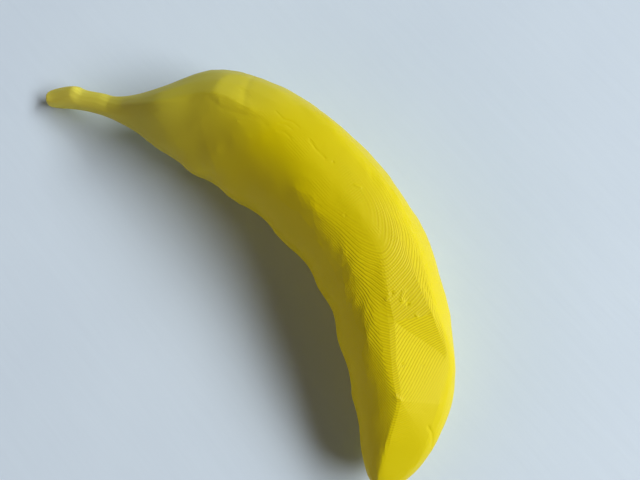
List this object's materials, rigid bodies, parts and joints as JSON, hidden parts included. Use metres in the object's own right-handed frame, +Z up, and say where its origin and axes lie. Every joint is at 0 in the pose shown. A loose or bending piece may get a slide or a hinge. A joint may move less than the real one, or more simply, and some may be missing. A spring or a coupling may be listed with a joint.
{
  "type": "3d-printed model banana",
  "caption": "Curved banana-shaped model, 3D-printed in one piece from yellow plastic, with soft facets, a thin stem and a tapering tip; for display or play.",
  "frame": {"origin": "middle of the part's box, on the surface it lies on", "axes": "+X from the stem to the tip along the chord of the bow, +Y towards the outside of the bow, +Z up as it lies on its side"},
  "size_m": [0.1546, 0.0602, 0.035],
  "materials": {
    "banana": "satin yellow filament with fine layer lines"
  },
  "bodies": {
    "root": {"banana": "banana"}
  },
  "joints": []
}
